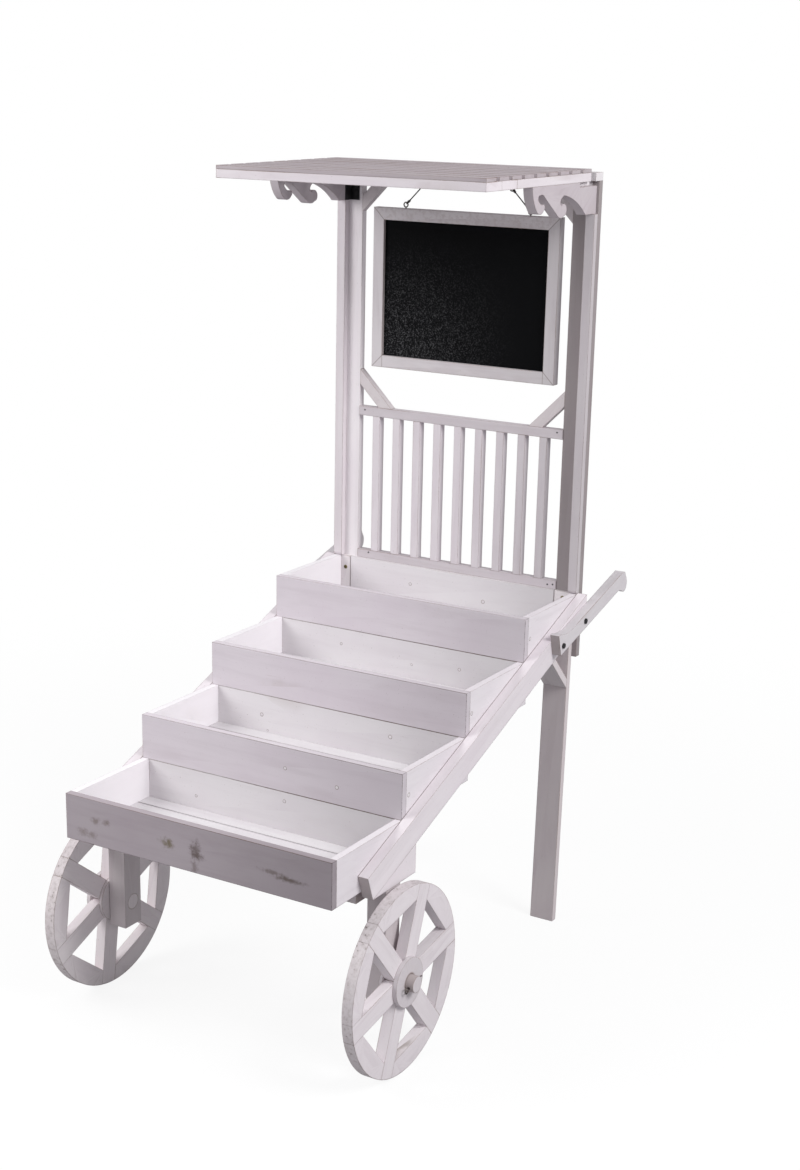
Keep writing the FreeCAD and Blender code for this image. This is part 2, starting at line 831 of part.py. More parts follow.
pieces = all_pieces()
middle_y = front_to_middle(pieces)
os.makedirs("parts", exist_ok=True)
for node, solids in pieces.items():
    shape = solids[0] if len(solids) == 1 else Part.makeCompound(solids)
    shape.translate(FreeCAD.Vector(0, -middle_y, 0))
    shape.exportStep("parts/%s.step" % node)
    print(node, len(shape.Solids), round(shape.Volume), shape.isValid())
print("nodes", len(pieces), "middle_y", round(middle_y, 3))
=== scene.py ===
import bpy, bmesh, math, random
from mathutils import Vector, Matrix


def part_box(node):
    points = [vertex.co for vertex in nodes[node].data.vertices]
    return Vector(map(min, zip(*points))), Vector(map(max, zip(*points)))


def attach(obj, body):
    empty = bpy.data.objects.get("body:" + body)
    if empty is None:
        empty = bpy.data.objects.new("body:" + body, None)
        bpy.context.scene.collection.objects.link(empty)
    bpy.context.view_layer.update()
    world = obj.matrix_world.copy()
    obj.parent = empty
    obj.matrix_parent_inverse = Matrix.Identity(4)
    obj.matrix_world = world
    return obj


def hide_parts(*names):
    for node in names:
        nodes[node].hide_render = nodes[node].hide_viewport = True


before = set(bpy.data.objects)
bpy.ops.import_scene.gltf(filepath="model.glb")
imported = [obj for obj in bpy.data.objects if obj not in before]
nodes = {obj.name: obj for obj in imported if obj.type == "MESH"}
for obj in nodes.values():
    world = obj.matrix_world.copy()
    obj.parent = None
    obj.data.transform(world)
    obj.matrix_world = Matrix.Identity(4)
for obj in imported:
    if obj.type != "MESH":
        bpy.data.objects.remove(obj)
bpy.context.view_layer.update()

# ---- Camera ------------------------------------------------------------------------------------
# Eye height of someone standing in front and to the right, looking down a little on the trays.
# The lens, turn and shift come from matching the trays, wheels, legs and roof to the photograph.
yaw, pitch, roll = (math.radians(a) for a in (31.76, 17.54, 0.84))
camera_place = Vector((1.5899, -2.5564, 1.4627))
look = Vector((-math.sin(yaw) * math.cos(pitch), math.cos(yaw) * math.cos(pitch), -math.sin(pitch)))
level = Vector((math.cos(yaw), math.sin(yaw), 0))
upright = level.cross(look)
right = math.cos(roll) * level + math.sin(roll) * upright
up = math.cos(roll) * upright - math.sin(roll) * level
camera_data = bpy.data.cameras.new("camera")
camera_data.sensor_width = 36
camera_data.lens = 59.41
camera_data.shift_x = 0.0365
camera_data.shift_y = 0.0706
camera_data.clip_start = 0.05
camera_data.clip_end = 60
camera = bpy.data.objects.new("camera", camera_data)
bpy.context.scene.collection.objects.link(camera)
turn = Matrix((right, up, -look)).transposed().to_4x4()
camera.matrix_world = Matrix.Translation(camera_place) @ turn
bpy.context.scene.camera = camera

# ---- Hanging cords -----------------------------------------------------------------------------
# Two thin dark cords, drawn tight by the chalkboard's weight, each tied with a small lumpy knot to
# a wire eye at either end.


class G:
    """A shader socket or a number, with arithmetic that adds nodes."""

    tree = None

    def __init__(self, socket):
        self.s = socket

    @classmethod
    def node(cls, kind, out=0, inputs=None, **settings):
        n = cls.tree.nodes.new(kind)
        for name, value in settings.items():
            setattr(n, name, value)
        for name, value in (inputs or {}).items():
            if isinstance(value, G):
                cls.tree.links.new(value.s, n.inputs[name])
            else:
                n.inputs[name].default_value = value
        return G(n.outputs[out])

    def math(self, operation, *others):
        values = dict(enumerate((self, *others)))
        return G.node("ShaderNodeMath", inputs=values, operation=operation)

    def __add__(self, other):
        return self.math("ADD", other)

    def __sub__(self, other):
        return self.math("SUBTRACT", other)

    def __rsub__(self, other):
        return G.node("ShaderNodeMath", inputs={0: other, 1: self}, operation="SUBTRACT")

    def __mul__(self, other):
        return self.math("MULTIPLY", other)

    def __gt__(self, other):
        return self.math("GREATER_THAN", other)

    def __lt__(self, other):
        return self.math("LESS_THAN", other)

    __radd__ = __add__
    __rmul__ = __mul__

    def step(self, low, high):
        """0 below low, 1 above high, smooth between."""
        return G.node("ShaderNodeMapRange", inputs={"Value": self, "From Min": low, "From Max": high},
                      interpolation_type="SMOOTHSTEP")

    def vector(self, operation, other):
        return G.node("ShaderNodeVectorMath", inputs={0: self, 1: other}, operation=operation)

    def mix(self, a, b):
        """Colour a where self is 0, b where it is 1."""
        n = G.tree.nodes.new("ShaderNodeMix")
        n.data_type = "RGBA"
        G.tree.links.new(self.s, n.inputs["Factor"])
        for socket, value in ((n.inputs[6], a), (n.inputs[7], b)):
            if isinstance(value, G):
                G.tree.links.new(value.s, socket)
            else:
                socket.default_value = (*value, 1)
        return G(n.outputs[2])

    def noise(self, scale, detail=3, rough=0.5, distort=0):
        return G.node("ShaderNodeTexNoise", inputs={"Vector": self, "Scale": scale, "Detail": detail,
                                                    "Roughness": rough, "Distortion": distort})


def material(name):
    """A new material whose tree G writes to, and its main shader."""
    m = bpy.data.materials.new(name)
    m.use_nodes = True
    G.tree = m.node_tree
    return m, m.node_tree.nodes["Principled BSDF"]


def feed(shader, **values):
    """Links or sets the shader's sockets; underscores in the names stand for spaces."""
    for name, value in values.items():
        socket = shader.inputs[name.replace("_", " ")]
        if isinstance(value, G):
            G.tree.links.new(value.s, socket)
        else:
            socket.default_value = value


def bump(height, strength, distance, normal=None):
    inputs = {"Height": height, "Strength": strength, "Distance": distance}
    if normal is not None:
        inputs["Normal"] = normal
    return G.node("ShaderNodeBump", inputs=inputs)


def place():
    """Where a point lies on the cart, in metres."""
    return G.node("ShaderNodeTexCoord", out=3)


def new_piece(name, mesh_or_curve, mat, body):
    o = bpy.data.objects.new(name, mesh_or_curve)
    bpy.context.scene.collection.objects.link(o)
    mesh_or_curve.materials.append(mat)
    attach(o, body)
    return o


def from_bmesh(name, bm, mat, body):
    mesh = bpy.data.meshes.new(name)
    bm.to_mesh(mesh)
    bm.free()
    for polygon in mesh.polygons:
        polygon.use_smooth = True
    return new_piece(name, mesh, mat, body)


cord_black, shader = material("cord_black")
at = place()
twist = at.noise(900, 2)
fibre = at.noise(2600, 3, 0.7)
feed(shader, Base_Color=twist.step(0.35, 0.7).mix((0.012, 0.010, 0.009), (0.055, 0.045, 0.040)),
     Roughness=0.85, Normal=bump(fibre + twist, 0.6, 0.0004))

cord_radius = 0.001
knot_radius, lump_height, drawn_out = 0.0021, 0.0007, 0.45
tie_radius, tie_wire, tie_reach = 0.0022, 0.0006, 0.0040
eye_radius = 0.0052
low_gap, high_gap = 0.0051, 0.0056
low_knot, high_knot = 0.0028, 0.001
held_straight = 0.012


def knot(name, middle, way, seed):
    """A lumpy ball, drawn out a little along the cord."""
    bm = bmesh.new()
    bmesh.ops.create_icosphere(bm, subdivisions=3, radius=knot_radius)
    rng = random.Random(seed)
    lumps = [Vector((rng.uniform(-1, 1), rng.uniform(-1, 1), rng.uniform(-1, 1))).normalized()
             for _ in range(5)]
    for v in bm.verts:
        out = v.co.normalized()
        v.co += out * lump_height * max(out.dot(lump) for lump in lumps) ** 3
        v.co += way * drawn_out * v.co.dot(way)
        v.co += middle
    return from_bmesh(name, bm, cord_black, "chalkboard")


def tie(name, middle, towards):
    """One turn of the cord round an eye's wire."""
    bm = bmesh.new()
    turns, facets = 20, 8
    aside = towards.cross(Vector((0, 1, 0))).normalized()
    rows = []
    for i in range(turns):
        a = 2 * math.pi * i / turns
        out = Vector((0, 1, 0)) * math.cos(a) + towards * math.sin(a)
        rows.append([])
        for j in range(facets):
            b = 2 * math.pi * j / facets
            skin = tie_wire * (math.cos(b) * out + math.sin(b) * aside)
            rows[i].append(bm.verts.new(middle + out * tie_radius + skin))
    for i in range(turns):
        for j in range(facets):
            a, b = rows[i], rows[(i + 1) % turns]
            bm.faces.new((a[j], a[(j + 1) % facets], b[(j + 1) % facets], b[j]))
    return from_bmesh(name, bm, cord_black, "chalkboard")


lower_eyes_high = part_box("board_screw_eyes")[1]
upper_eyes_low, upper_eyes_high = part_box("upper_screw_eyes")
hang_y = (upper_eyes_low.y + upper_eyes_high.y) / 2
for side, word in ((1, "right"), (-1, "left")):
    low = Vector((side * (lower_eyes_high.x - eye_radius), hang_y, lower_eyes_high.z - eye_radius))
    high = Vector((side * (upper_eyes_high.x - eye_radius), hang_y, upper_eyes_low.z + eye_radius))
    way = (high - low).normalized()
    start, end = low + way * low_gap, high - way * high_gap
    curve = bpy.data.curves.new("cord_" + word, "CURVE")
    curve.dimensions = "3D"
    curve.bevel_depth = cord_radius
    curve.bevel_resolution = 3
    curve.use_fill_caps = True
    spline = curve.splines.new("NURBS")
    route = [start, start + way * held_straight, end - way * held_straight, end]
    spline.points.add(len(route) - 1)
    for point, co in zip(spline.points, route):
        point.co = (*co, 1)
    spline.order_u = 3
    spline.use_endpoint_u = True
    cord = new_piece("cord_" + word, curve, cord_black, "chalkboard")
    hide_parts("hanging_cord_" + word)
    both_ends = (("low", low, start, way, low_knot), ("high", high, end, -way, high_knot))
    for tag, eye, stop, towards, off in both_ends:
        seed = side * 7 + len(tag)
        knot("knot_%s_%s" % (word, tag), stop + towards * off, way, seed)
        tie("tie_%s_%s" % (word, tag), eye + towards * tie_reach, towards)
    (end - start).length

# ---- Whitewashed pine --------------------------------------------------------------------------
# Every board is planed pine under a thin white wash with a lilac cast. The grain runs along each
# board, the wash thins over knots and pores, and it is rubbed through to brown wood on the arrises.


def part_of(vector, index):
    return G.node("ShaderNodeSeparateXYZ", out=index, inputs={0: vector})


def dot(a, b):
    return G.node("ShaderNodeVectorMath", out="Value", inputs={0: a, 1: b}, operation="DOT_PRODUCT")


def joined(x, y, z):
    return G.node("ShaderNodeCombineXYZ", inputs={0: x, 1: y, 2: z})


def grain_along(way):
    """Turns places on the cart into places on a board whose length points this way."""
    way = Vector(way).normalized()
    aside = way.cross(Vector((0, 0, 1)) if abs(way.z) < 0.8 else Vector((0, 1, 0))).normalized()
    third = way.cross(aside)
    return lambda at: joined(dot(at, way), dot(at, aside), dot(at, third))


wood_under_wash, pore = (0.42, 0.36, 0.35), (0.20, 0.15, 0.13)
knot_halo, knot_heart = (0.42, 0.36, 0.33), (0.20, 0.16, 0.13)
sawn_end, worn_arris, worn_through = (0.22, 0.17, 0.145), (0.26, 0.180, 0.140), (0.25, 0.165, 0.115)


def thinned(wash, red, green, blue):
    """The wash where it lies thinner: the share kept of each part of its colour."""
    return (wash[0] * red, wash[1] * green, wash[2] * blue)


def pine(name, lie, pale, wear=1.0, knots=0.10, grain=1.0, arris=0.35, ends=0.0, marks=None):
    """The wash over one lot of boards: lie turns places so that X runs along the grain."""
    m, shader = material(name)
    at = place()
    island = G.node("ShaderNodeNewGeometry", out="Random Per Island")
    board = lie(at).vector("ADD", joined(island * 3.1, island * 7.3, island * 5.7))
    fibre = board.vector("MULTIPLY", (0.055, 1, 1))
    wavy = fibre.vector("ADD", board.noise(3.5, 2).vector("MULTIPLY", (0.02, 0.02, 0.02)))
    streak = wavy.noise(60, 5, 0.62)
    fine = wavy.noise(300, 4, 0.7)
    smear = board.vector("MULTIPLY", (0.3, 1, 1)).noise(16, 4, 0.6)
    cloud = board.noise(7, 3, 0.55)
    grit = board.noise(160, 4, 0.65)
    speck = board.noise(420, 2, 0.5)
    crooked = board.noise(40, 2).vector("MULTIPLY", (0.25, 0.25, 0.25))
    cell = board.vector("MULTIPLY", (5, 12, 12)).vector("ADD", crooked)
    spot = G.node("ShaderNodeTexVoronoi", inputs={"Vector": cell, "Scale": 1.0})
    which = G.node("ShaderNodeTexVoronoi", out="Color", inputs={"Vector": cell, "Scale": 1.0})
    chosen = G.node("ShaderNodeSeparateColor", inputs={0: which}) < knots
    knot = (1 - spot.step(0.03, 0.15)) * chosen
    halo = (1 - spot.step(0.10, 0.40)) * chosen
    soft = G.node("ShaderNodeBevel", inputs={"Radius": 0.0020}, samples=6)
    true = G.node("ShaderNodeNewGeometry", out="Normal")
    corner = (1 - dot(soft, true)).step(0.015, 0.17)
    rub = corner * (smear.step(0.50, 0.66) * 0.75 + grit.step(0.52, 0.68) * 0.45) * wear
    tint = (streak.step(0.46, 0.74) * 0.34 * grain).mix(pale, thinned(pale, 0.80, 0.775, 0.785))
    tint = (cloud.step(0.35, 0.72) * 0.40).mix(tint, thinned(pale, 0.90, 0.86, 0.895))
    tint = (smear.step(0.52, 0.72) * 0.30 * grain).mix(tint, thinned(pale, 0.78, 0.745, 0.755))
    tint = (fine.step(0.60, 0.82) * 0.30 * grain).mix(tint, wood_under_wash)
    tint = (halo * 0.25).mix(tint, knot_halo)
    tint = (knot * 0.55).mix(tint, knot_heart)
    tint = (speck.step(0.71, 0.76) * 0.40).mix(tint, pore)
    if ends:
        cut = lie(true)
        tint = (part_of(cut, 0).math("ABSOLUTE").step(0.75, 0.95) * ends).mix(tint, sawn_end)
    tint = (corner * arris * (0.30 + smear.step(0.38, 0.6) * 0.9)).mix(tint, worn_arris)
    tint = (rub * 0.9).mix(tint, worn_through)
    if marks:
        tint = marks(at, tint, grit, corner)
    rough = 0.64 + streak * 0.14 + fine * 0.1
    relief = streak * 0.5 + fine * 0.6 - knot * 0.4
    feed(shader, Base_Color=tint, Roughness=rough, Normal=bump(relief, 0.20, 0.0010, soft))
    shader.inputs["Specular IOR Level"].default_value = 0.18
    return m


def dress(mat, *names):
    for name in names:
        nodes[name].data.materials.clear()
        nodes[name].data.materials.append(mat)


X, Y, Z = grain_along((1, 0, 0)), grain_along((0, 1, 0)), grain_along((0, 0, 1))

# ---- Trays -------------------------------------------------------------------------------------
# Four open boxes of planed boards, butted and nailed. Where a tray's front stands on the back board
# below it, a thin dark joint shows. The lowest front is a greyer board with several knots. The fronts
# and backs are painted darker towards the right as painted shade.
joint_heights = [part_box("tray_%d_front" % number)[0].z for number in (2, 3, 4)]
cart_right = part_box("tray_1_front")[1].x


def painted_darker(tint, share):
    """The colour, darkened by this share of its brightness: painted shade."""
    left = 1 - share
    return tint.vector("MULTIPLY", joined(left, left, left))


def rightwards(at):
    """0 up to the middle of the cart, rising to 1 at its right-hand side."""
    return part_of(at, 0).step(-0.05, cart_right)


def every_tray(piece):
    return ["tray_%d_%s" % (number, piece) for number in (1, 2, 3, 4)]


def joints_and_painted_shade(at, tint, grit, corner):
    """The dark line under each front, chips at its right-hand end, and painted shade that darkens the boards
    towards the right.
    """
    height = part_of(at, 2)
    across = part_of(at, 0)
    # Painted shade: the fronts and backs darker towards the right-hand side.
    tint = painted_darker(tint, rightwards(at) * 0.16)
    facing = part_of(G.node("ShaderNodeNewGeometry", out="Normal"), 1) < -0.5
    for joint in joint_heights:
        line = 1 - (height - joint).math("ABSOLUTE").step(0.0003, 0.0012)
        broken = 0.25 + across.step(-0.2, 0.1) * 0.5 + grit.step(0.45, 0.6) * 0.2
        tint = (line * facing * broken).mix(tint, (0.13, 0.095, 0.08))
    chip = across.step(cart_right - 0.0035, cart_right - 0.001) * grit.step(0.46, 0.56) * corner
    return (chip * 0.9).mix(tint, (0.045, 0.032, 0.030))


# The lowest front's stains: place across and up, half width, half height, strength and colour.
stains = (
    (-0.0466, 0.3428, 0.0090, 0.0085, 0.80, (0.150, 0.120, 0.060)),
    (-0.0560, 0.3440, 0.0100, 0.0050, 0.35, (0.200, 0.170, 0.120)),
    (0.0034, 0.3434, 0.0100, 0.0150, 0.72, (0.110, 0.080, 0.072)),
    (0.0080, 0.3350, 0.0110, 0.0060, 0.60, (0.110, 0.080, 0.072)),
    (0.0010, 0.3151, 0.0060, 0.0120, 0.50, (0.130, 0.095, 0.085)),
    (0.1400, 0.3420, 0.0220, 0.0035, 0.55, (0.130, 0.095, 0.075)),
    (0.1700, 0.3365, 0.0250, 0.0040, 0.75, (0.110, 0.080, 0.060)),
    (-0.1851, 0.3471, 0.0080, 0.0060, 0.60, (0.170, 0.130, 0.110)),
    (-0.1640, 0.3483, 0.0070, 0.0050, 0.60, (0.150, 0.110, 0.090)),
    (-0.2103, 0.3234, 0.0110, 0.0070, 0.50, (0.180, 0.140, 0.120)),
    (-0.1924, 0.3222, 0.0090, 0.0060, 0.50, (0.180, 0.140, 0.120)),
)


def stains_and_painted_shade(at, tint, grit, corner):
    """Ragged stains, then more painted shade towards the right, and the joints."""
    for x, z, half_x, half_z, share, tone in stains:
        away = at.vector("SUBTRACT", (x, -0.44, z)).vector("MULTIPLY", (0.75 / half_x, 8, 0.75 / half_z))
        far = G.node("ShaderNodeVectorMath", out="Value", inputs={0: away}, operation="LENGTH")
        patch = 1 - (far + (grit - 0.5) * 2.0).step(0.05, 1.10)
        tint = (patch * share).mix(tint, tone)
    # Painted shade: the lowest front darker towards the right, on top of the joints' painted shade.
    return joints_and_painted_shade(at, painted_darker(tint, rightwards(at) * 0.07), grit, corner)


def painted_light_left(at, tint, grit, corner):
    """The left-hand boards, painted paler: painted light for the light on the inner left sides."""
    return ((part_of(at, 0) < 0) * 0.6).mix(tint, (0.96, 0.94, 0.96))


dress(pine("pine_lowest_front", X, (0.43, 0.382, 0.41), 1.3, 0.0, 1.3, marks=stains_and_painted_shade), "tray_1_front")
for number in (2, 3, 4):
    dress(pine("pine_front_%d" % number, X, (0.70, 0.65, 0.69), marks=joints_and_painted_shade), "tray_%d_front" % number)
dress(pine("pine_backs", X, (0.76, 0.735, 0.75), 0.7, 0.05, 0.7, marks=joints_and_painted_shade), *every_tray("back"))
dress(pine("pine_floors", X, (0.70, 0.68, 0.695), 0.8, 0.05, 0.8), *every_tray("floor"))
# The sides' left-hand boards get painted light.
dress(pine("pine_sides", Y, (0.76, 0.72, 0.75), 1.0, 0.08, marks=painted_light_left), *every_tray("sides"))
dress(pine("pine_pads", Z, (0.78, 0.74, 0.75), 1.2), "tray_4_corner_blocks")

# ---- Rails, wedges, posts, beam and handles ----------------------------------------------------
# Square pine bars. Their sawn ends took the wash badly and are brown; the handles are rubbed most.
uphill = grain_along((0, 191, 73.5))
grip_way = grain_along((0, math.cos(math.radians(16)), math.sin(math.radians(16))))


def against_trays(at, tint, grit, corner):
    """A dark open joint where the rail's top edge meets the trays' sides."""
    upward = part_of(G.node("ShaderNodeNewGeometry", out="Normal"), 2) > 0.5
    inner = 1 - (part_of(at, 0).math("ABSOLUTE") - cart_right).step(0.0004, 0.0016)
    return (upward * inner * 0.75).mix(tint, (0.14, 0.105, 0.09))


dress(pine("pine_rails", uphill, (0.76, 0.71, 0.74), 1.1, 0.05, arris=0.6, ends=0.5, marks=against_trays),
      "side_rail_left", "side_rail_right", "wedge_blocks")
dress(pine("pine_posts", Z, (0.60, 0.55, 0.56), 1.2, ends=0.5), "wheel_post_left", "wheel_post_right")
dress(pine("pine_beam", X, (0.62, 0.57, 0.58), 1.2, ends=0.5), "front_cross_beam")
dress(pine("pine_legs", Z, (0.66, 0.60, 0.61), 1.5, arris=0.7), "rear_leg_left", "rear_leg_right")
dress(pine("pine_knees", grain_along((0, -1, 1)), (0.70, 0.65, 0.66), 1.3, arris=0.7), "knee_braces")
dress(pine("pine_handles", grip_way, (0.66, 0.63, 0.65), 1.4, 0.05, 1.3, arris=0.6, ends=0.5),
      "handle_left", "handle_right")

# ---- Wheels ------------------------------------------------------------------------------------
# Six flat spokes and six rim pieces, each with the grain along its own length, glued edge to edge;
# brown wood shows along every joint, and the tread is scuffed and specked.
hub_y = (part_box("axle_right")[0].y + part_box("axle_right")[1].y) / 2
hub_z = (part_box("axle_right")[0].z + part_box("axle_right")[1].z) / 2
wheel_radius, worn_ring = 0.150, 0.0142
sixth = math.pi / 3


def spoke_grain(rest_turn, chord):
    """Grain from the hub outwards, or along the chord of each rim piece."""
    def lie(at):
        y, z = part_of(at, 1) - hub_y, part_of(at, 2) - hub_z
        pieces = (z.math("ARCTAN2", y) - rest_turn) * (1 / sixth)
        which = (pieces.math("FLOOR") + 0.5) if chord else (pieces + 0.5).math("FLOOR")
        angle = which * sixth + (rest_turn + (math.pi / 2 if chord else 0))
        c, s = angle.math("COSINE"), angle.math("SINE")
        return joined(y * c + z * s, z * c - y * s, part_of(at, 0))
    return lie


def scuffed(at, tint, grit, corner):
    """The tread, greyed all round and specked with dirt."""
    y, z = part_of(at, 1) - hub_y, part_of(at, 2) - hub_z
    reach = (y * y + z * z).math("SQRT")
    tread = reach.step(wheel_radius - 0.0016, wheel_radius - 0.0006)
    tint = (tread * (0.18 + grit.step(0.4, 0.7) * 0.3)).mix(tint, (0.33, 0.275, 0.26))
    return (tread * grit.step(0.62, 0.70) * 0.7).mix(tint, (0.10, 0.075, 0.065))


def worn_bore(at, tint, grit, corner):
    """A brown ring rubbed on the hub disc round the axle."""
    y, z = part_of(at, 1) - hub_y, part_of(at, 2) - hub_z
    off_ring = ((y * y + z * z).math("SQRT") - worn_ring).math("ABSOLUTE")
    ring = 1 - off_ring.step(0.0004, 0.0026)
    return (ring * 0.6).mix(tint, (0.20, 0.13, 0.10))


# The left wheel's paler tone, and so its hub's, is painted light; the right wheel keeps the wash's tone.
for side, degrees, tone in (("right", 10, (0.76, 0.71, 0.735)), ("left", 22, (0.86, 0.80, 0.815))):
    rest_turn = math.radians(degrees)
    disc_tone = thinned(tone, 0.84, 0.84, 0.84)
    dress(pine("pine_rim_" + side, spoke_grain(rest_turn, True), tone, 1.5, 0.1, 1.2, 0.75, marks=scuffed),
          "wheel_%s_rim" % side)
    dress(pine("pine_spokes_" + side, spoke_grain(rest_turn, False), tone, 1.4, 0.1, 1.1, 0.7, marks=scuffed),
          "wheel_%s_spokes" % side)
    dress(pine("pine_hub_" + side, Z, disc_tone, 1.2, 0.0, 0.7, 0.8, marks=worn_bore),
          "wheel_%s_hub_discs" % side, "axle_" + side)

# ---- Back frame --------------------------------------------------------------------------------
# Post boards with battens up their outer edges, a railing of nine balusters, corner braces and the
# rails across. The right-hand post board is painted dark, partly a greyer piece of wood and partly
# painted shade; the left-hand one is painted pale, partly as painted light.
# The right post's dark tone is partly a greyer board and partly painted shade; the left post's pale tone is
# partly painted light.
dress(pine("pine_post_right", Z, (0.33, 0.295, 0.30), 1.0), "post_board_right")
dress(pine("pine_post_left", Z, (0.84, 0.80, 0.82), 1.0), "post_board_left")


def painted_shade_rightwards(at, tint, grit, corner):
    """Painted shade, darker towards the right-hand side."""
    return painted_darker(tint, rightwards(at) * 0.25)


# Battens and balusters: painted shade towards the right.
dress(pine("pine_battens", Z, (0.74, 0.69, 0.715), 1.3, arris=0.5, marks=painted_shade_rightwards), "post_battens")
dress(pine("pine_balusters", Z, (0.74, 0.69, 0.72), 1.2, arris=0.4, marks=painted_shade_rightwards), "balusters")
dress(pine("pine_railing", X, (0.62, 0.575, 0.60), 1.3, arris=0.5), "railing_rails")
dress(pine("pine_braces", grain_along((1, 0, 1)), (0.66, 0.61, 0.62), 1.3, arris=0.5), "corner_braces")
dress(pine("pine_top_rails", X, (0.74, 0.71, 0.725)), "top_rail", "top_beam", "roof_flat_rail")

# ---- Roof and scroll brackets ------------------------------------------------------------------
# Thin slats with open joints on a frame of wider boards; the slats' tops are rubbed brown along the
# grain, while their ends and the bracket faces kept their wash.
dress(pine("pine_slats", X, (0.46, 0.41, 0.43), 1.3, 0.1, 2.0, arris=0.5), "roof_slats")
dress(pine("pine_roof_frame", X, (0.74, 0.69, 0.72), 1.5, 0.1, 1.3, arris=0.5), "roof_front_rails")
dress(pine("pine_bearers", Y, (0.73, 0.685, 0.71)), "roof_bearers")
dress(pine("pine_brackets", grain_along((0, -0.75, -0.6)), (0.53, 0.48, 0.505), 1.0, 0.2, arris=0.4),
      "hook_bracket_left", "hook_bracket_right")

# ---- Chalkboard --------------------------------------------------------------------------------
# A mitred frame of thinly washed mouldings, the top one browner, partly rubbed and partly painted
# shade under the roof, the others with painted shade towards the right, round a thin panel under
# matt black chalk paint with a fine dust of wiped chalk low on the left.
frame_low, frame_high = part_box("chalkboard_frame")
frame_middle_z = (frame_low.z + frame_high.z) / 2


def mitre_places(at):
    """How far a place is from the frame's nearest side, and from its upper or lower edge."""
    from_side = frame_high.x - part_of(at, 0).math("ABSOLUTE")
    from_end = (frame_high.z - frame_low.z) / 2 - (part_of(at, 2) - frame_middle_z).math("ABSOLUTE")
    return from_side, from_end


def frame_grain(at):
    """Along X on the upper and lower mouldings, along Z on the two at the sides."""
    from_side, from_end = mitre_places(at)
    upright = from_side.math("LESS_THAN", from_end)
    level = 1 - upright
    turned = joined(part_of(at, 2), part_of(at, 1), part_of(at, 0))
    on_sides = turned.vector("MULTIPLY", joined(upright, upright, upright))
    return on_sides.vector("ADD", at.vector("MULTIPLY", joined(level, level, level)))


moulding_edge = frame_high.x - 0.0205


def frame_wear_and_painted_shade(at, tint, grit, corner):
    """Dark mitres, a top moulding browned partly by rubbing and partly as painted shade under the roof,
    painted shade towards the right on the others, and a brown line where the side mouldings meet the panel.
    """
    from_side, from_end = mitre_places(at)
    top = from_end.math("LESS_THAN", from_side) * (part_of(at, 2) > frame_middle_z)
    mitre = 1 - (from_side - from_end).math("ABSOLUTE").step(0.0002, 0.0013)
    tint = (mitre * 0.7).mix(tint, (0.16, 0.12, 0.10))
    inner = (part_of(at, 0).math("ABSOLUTE") - moulding_edge).math("ABSOLUTE")
    # The top moulding browned: rubbed patches, and partly painted shade under the roof.
    tint = (top * (0.06 + grit.step(0.45, 0.62) * 0.28)).mix(tint, (0.40, 0.335, 0.335))
    # Painted shade: the side and lower mouldings darker towards the right.
    tint = painted_darker(tint, rightwards(at) * (1 - top) * 0.14)
    return ((1 - inner.step(0.0002, 0.0012)) * (1 - top) * 0.5).mix(tint, (0.20, 0.15, 0.13))


dress(pine("pine_chalk_frame", frame_grain, (0.66, 0.625, 0.64), 1.6, 0.1, 1.9, 0.6, marks=frame_wear_and_painted_shade),
      "chalkboard_frame")

chalk_black, shader = material("chalk_black")
at = place()
panel_low, panel_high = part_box("chalkboard_panel")
low_down = 1 - part_of(at, 2).step(panel_low.z, panel_high.z)
to_left = 1 - part_of(at, 0).step(panel_low.x, panel_high.x * 0.8)
dust = at.noise(420, 3, 0.7).step(0.46, 0.72)
wiped = at.noise(14, 4, 0.6, 0.5)
scratch = at.vector("MULTIPLY", (30, 1, 260)).noise(3, 3).step(0.70, 0.8)
tone = (dust * low_down * to_left).mix((0.0030, 0.0031, 0.0036), (0.105, 0.105, 0.110))
tone = (wiped.step(0.5, 0.8) * 0.15).mix(tone, (0.012, 0.012, 0.014))
tone = (scratch * 0.05).mix(tone, (0.10, 0.10, 0.11))
feed(shader, Base_Color=tone, Roughness=0.75 + wiped * 0.2, Normal=bump(at.noise(700, 3), 0.15, 0.0004))
shader.inputs["Specular IOR Level"].default_value = 0.06
dress(chalk_black, "chalkboard_panel")

# ---- Ironwork ----------------------------------------------------------------------------------
# Blackened steel angles and bolt heads, plain drawn wire for the eyes and split pins: all dull,
# with small rubbed and rusty places.


def iron(name, base, rubbed, metal, rough):
    """A dull metal with rubbed patches and specks of rust."""
    m, shader = material(name)
    at = place()
    patch = at.noise(90, 4, 0.6)
    grit = at.noise(900, 3, 0.6)
    tone = patch.step(0.5, 0.75).mix(base, rubbed)
    tone = (grit.step(0.6, 0.8) * 0.35).mix(tone, (0.09, 0.045, 0.025))
    feed(shader, Base_Color=tone, Metallic=metal, Roughness=rough + patch * 0.25,
         Normal=bump(grit, 0.2, 0.0003))
    return m


black_iron = iron("black_iron", (0.010, 0.010, 0.011), (0.035, 0.034, 0.034), 0.3, 0.35)
pin_steel = iron("pin_steel", (0.10, 0.085, 0.08), (0.24, 0.22, 0.20), 0.9, 0.35)
brass = iron("screw_brass", (0.16, 0.13, 0.05), (0.30, 0.25, 0.12), 0.7, 0.40)
dress(black_iron, "corner_irons", "handle_bolts")
dress(pin_steel, "upper_screw_eyes", "board_screw_eyes")

